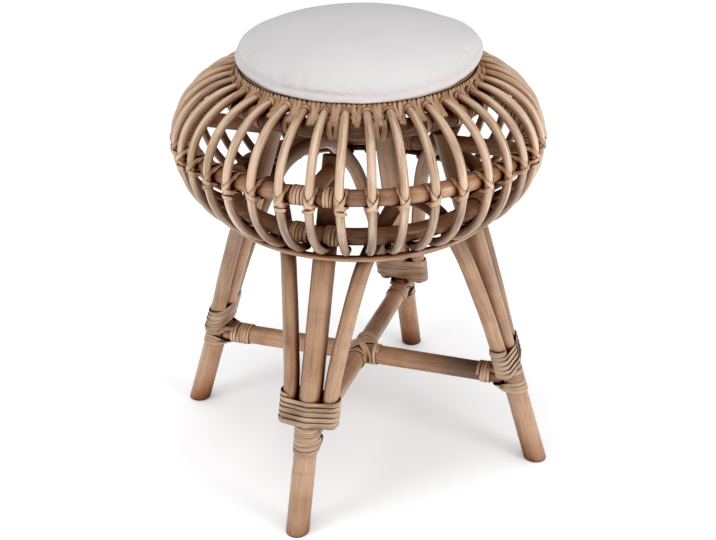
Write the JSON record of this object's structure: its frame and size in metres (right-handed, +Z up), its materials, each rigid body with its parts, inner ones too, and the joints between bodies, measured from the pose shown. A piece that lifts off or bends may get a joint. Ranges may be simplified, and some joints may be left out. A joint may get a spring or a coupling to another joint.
{
  "type": "stool",
  "caption": "Round bowed-rib rattan stool on splayed pole legs with arched braces, crossed stretchers and a loose round cushion.",
  "frame": {"origin": "on the floor, under the middle of the seat", "axes": "+Z up, -Y towards the front, legs on the four diagonals"},
  "size_m": [0.3992, 0.3992, 0.5064],
  "materials": {
    "rib_rattan": "satin clear-coated peeled rattan rod",
    "pole_rattan": "satin clear-coated rattan pole with joint rings",
    "stretcher_rattan": "satin clear-coated rattan pole",
    "arch_rattan": "satin clear-coated bent rattan rod",
    "ring_rattan": "satin clear-coated rattan ring",
    "rattan_peel": "flat strips of rattan peel, satin",
    "seat_plywood": "thin sanded board",
    "cushion_canvas": "plain off-white cotton canvas"
  },
  "bodies": {
    "frame": {"rib_01": "rib_rattan", "rib_02": "rib_rattan", "rib_03": "rib_rattan", "rib_04": "rib_rattan", "rib_05": "rib_rattan", "rib_06": "rib_rattan", "rib_07": "rib_rattan", "rib_08": "rib_rattan", "rib_09": "rib_rattan", "rib_10": "rib_rattan", "rib_11": "rib_rattan", "rib_12": "rib_rattan", "rib_13": "rib_rattan", "rib_14": "rib_rattan", "rib_15": "rib_rattan", "rib_16": "rib_rattan", "rib_17": "rib_rattan", "rib_18": "rib_rattan", "rib_19": "rib_rattan", "rib_20": "rib_rattan", "rib_21": "rib_rattan", "rib_22": "rib_rattan", "rib_23": "rib_rattan", "rib_24": "rib_rattan", "rib_25": "rib_rattan", "rib_26": "rib_rattan", "rib_27": "rib_rattan", "rib_28": "rib_rattan", "rib_29": "rib_rattan", "rib_30": "rib_rattan", "rib_31": "rib_rattan", "rib_32": "rib_rattan", "rib_33": "rib_rattan", "rib_34": "rib_rattan", "rib_35": "rib_rattan", "rib_36": "rib_rattan", "rib_37": "rib_rattan", "rib_38": "rib_rattan", "rib_39": "rib_rattan", "rib_40": "rib_rattan", "waist_ring": "ring_rattan", "lower_ring": "ring_rattan", "top_ring": "ring_rattan", "bottom_hoop": "ring_rattan", "seat_panel": "seat_plywood", "leg_front_left": "pole_rattan", "leg_front_right": "pole_rattan", "leg_back_right": "pole_rattan", "leg_back_left": "pole_rattan", "stretcher_front_left_to_back_right": "stretcher_rattan", "stretcher_front_right_to_back_left": "stretcher_rattan", "arch_front": "arch_rattan", "arch_right": "arch_rattan", "arch_back": "arch_rattan", "arch_left": "arch_rattan", "binding_front_left": "rattan_peel", "binding_front_right": "rattan_peel", "binding_back_right": "rattan_peel", "binding_back_left": "rattan_peel"},
    "cushion": {"cushion": "cushion_canvas"}
  },
  "joints": [
    {"name": "cushion_lift", "type": "slide", "parent": "frame", "child": "cushion", "axis": [0, 0, 1], "range_m": [0, 0.08]}
  ]
}
